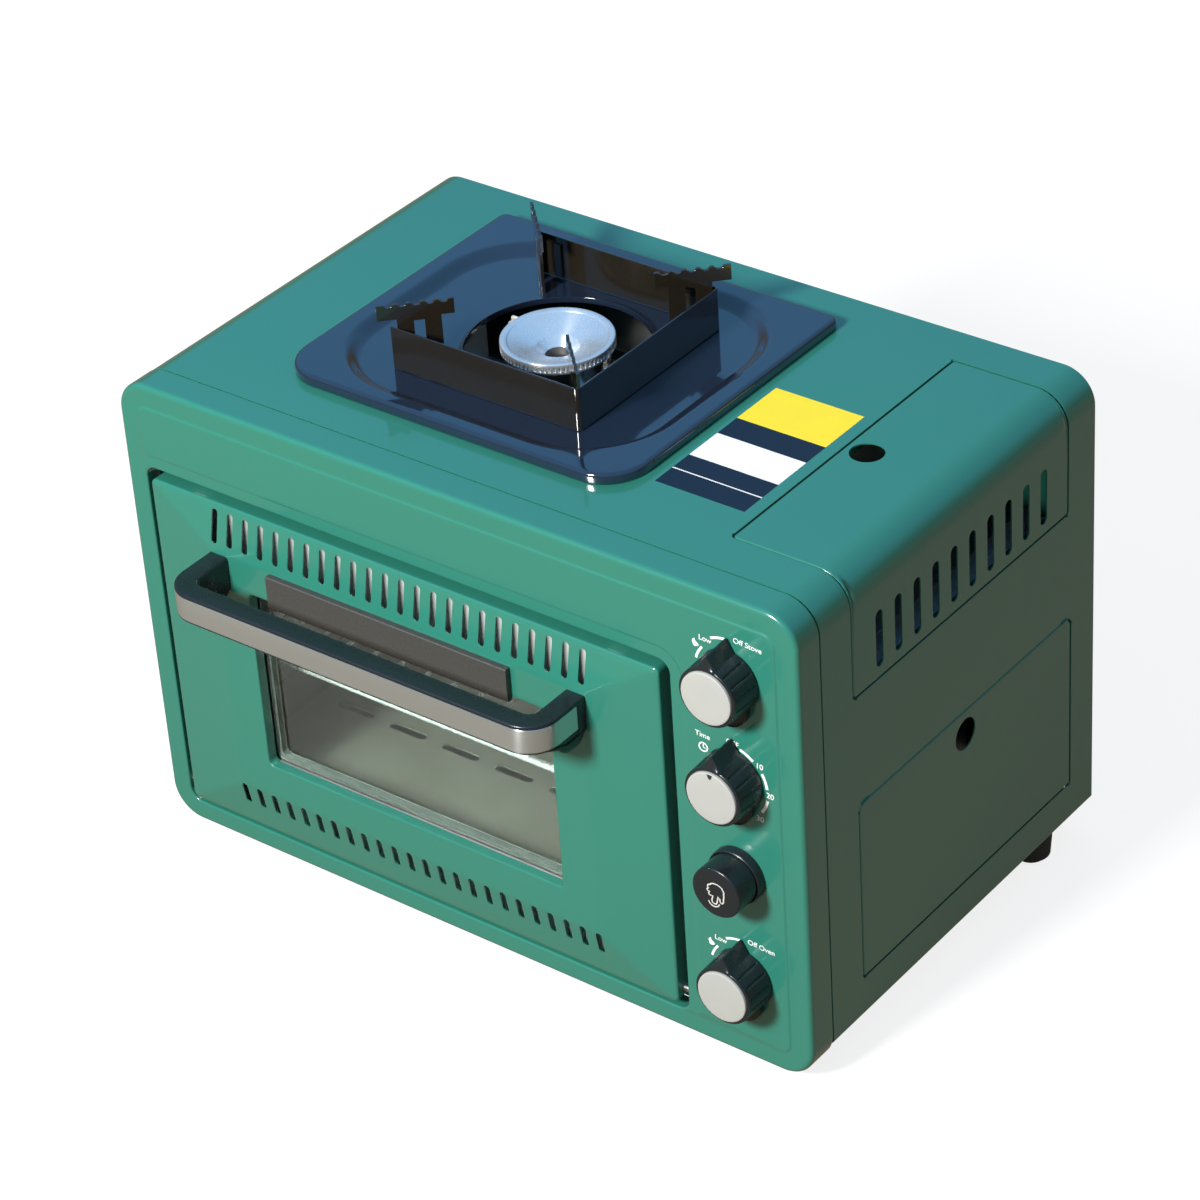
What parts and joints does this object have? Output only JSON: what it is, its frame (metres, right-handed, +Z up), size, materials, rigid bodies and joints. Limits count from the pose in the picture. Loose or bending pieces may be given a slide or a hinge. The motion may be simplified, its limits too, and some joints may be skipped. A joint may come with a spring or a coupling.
{
  "type": "gas camping oven",
  "caption": "Portable gas oven with a burner on top: drop-down glazed door, knobs in a column, wind screen, cartridge lid and side hatch.",
  "frame": {"origin": "middle of the whole box, at the table under the feet", "axes": "+X to the right of the front, -Y out of the front, +Z up"},
  "size_m": [0.49, 0.358, 0.368],
  "materials": {
    "green_paint": "gloss enamel, bluish green",
    "black_enamel": "gloss black vitreous enamel",
    "dark_strip": "dark grey, fine texture",
    "galvanised": "zinc-coated sheet",
    "stainless": "brushed stainless",
    "bright_liner": "bright aluminised sheet",
    "chrome_wire": "bright",
    "aluminium": "satin cast",
    "brass": "turned",
    "copper_pipe": "drawn tube",
    "screw_steel": "zinc-plated",
    "glass": "clear toughened",
    "rubber": "matt black",
    "seal_cord": "woven glass-fibre cord",
    "black_plastic": "satin phenolic",
    "cap_grey": "pearl satin",
    "nylon": "natural white",
    "timer_case": "ivory"
  },
  "bodies": {
    "housing": {"bezel": "green_paint", "outer_shell": "green_paint", "base_plate": "galvanised", "back_panel": "green_paint", "heat_shield": "galvanised", "bay_floor": "galvanised", "rubber_feet": "rubber", "foot_screws": "screw_steel", "back_screws": "screw_steel", "door_catches": "nylon", "door_seal": "seal_cord", "control_bracket": "galvanised", "stove_valve": "brass", "oven_valve": "brass", "timer_body": "timer_case", "igniter": "black_plastic", "button_collar": "black_plastic", "side_hinges": "screw_steel", "cartridge_cradle": "galvanised", "regulator": "aluminium", "regulator_mount": "galvanised", "gas_manifold": "copper_pipe", "jet_pipes": "copper_pipe", "drip_pan": "black_enamel", "burner_head": "aluminium", "burner_cup": "stainless", "mixing_tube": "aluminium", "burner_bracket": "galvanised", "spark_electrode": "nylon", "oven_liner": "bright_liner", "liner_feet": "galvanised", "burner_cover": "bright_liner", "rack_rails": "stainless", "oven_rack": "chrome_wire", "oven_burner": "stainless", "tube_saddles": "galvanised"},
    "door": {"door_skin": "green_paint", "door_liner": "bright_liner", "door_glass": "glass", "glass_frame": "stainless", "window_bead": "stainless", "heat_deflector": "dark_strip", "handle_grip": "black_plastic", "handle_band": "stainless", "handle_screws": "screw_steel", "door_pins": "screw_steel"},
    "lid": {"cartridge_lid": "green_paint"},
    "hatch": {"side_hatch": "green_paint"},
    "stove_control": {"stove_knob": "black_plastic", "stove_knob_cap": "cap_grey", "stove_stem": "brass"},
    "timer_control": {"timer_knob": "black_plastic", "timer_knob_cap": "cap_grey", "timer_stem": "screw_steel"},
    "oven_control": {"oven_knob": "black_plastic", "oven_knob_cap": "cap_grey", "oven_stem": "brass"},
    "igniter_button": {"ignition_button": "black_plastic"},
    "trivet": {"wind_screen": "black_enamel", "pot_supports": "black_enamel"}
  },
  "joints": [
    {"name": "oven_door_hinge", "type": "hinge", "parent": "housing", "child": "door", "pos_m": [-0.03575, -0.12105, 0.0335], "axis": [1, 0, 0], "range_deg": [0, 80]},
    {"name": "cartridge_lid_hinge", "type": "hinge", "parent": "housing", "child": "lid", "pos_m": [0.2407, 0.037, 0.248], "axis": [0, 1, 0], "range_deg": [0, 90]},
    {"name": "side_hatch_hinge", "type": "hinge", "parent": "housing", "child": "hatch", "pos_m": [0.2407, 0.03995, 0.0518], "axis": [0, 1, 0], "range_deg": [0, 90]},
    {"name": "stove_knob_turn", "type": "hinge", "parent": "housing", "child": "stove_control", "pos_m": [0.2, -0.12555, 0.272], "axis": [0, -1, 0], "range_deg": [0, 150]},
    {"name": "timer_knob_turn", "type": "hinge", "parent": "housing", "child": "timer_control", "pos_m": [0.2, -0.12555, 0.2055], "axis": [0, 1, 0], "range_deg": [0, 275]},
    {"name": "oven_knob_turn", "type": "hinge", "parent": "housing", "child": "oven_control", "pos_m": [0.2, -0.12555, 0.0655], "axis": [0, -1, 0], "range_deg": [0, 150]},
    {"name": "ignition_press", "type": "slide", "parent": "housing", "child": "igniter_button", "axis": [0, 1, 0], "range_m": [0, 0.004], "stiffness_N_per_m": 400, "springref_m": -0.004},
    {"name": "trivet_lift", "type": "slide", "parent": "housing", "child": "trivet", "axis": [0, 0, 1], "range_m": [0, 0.06]}
  ]
}
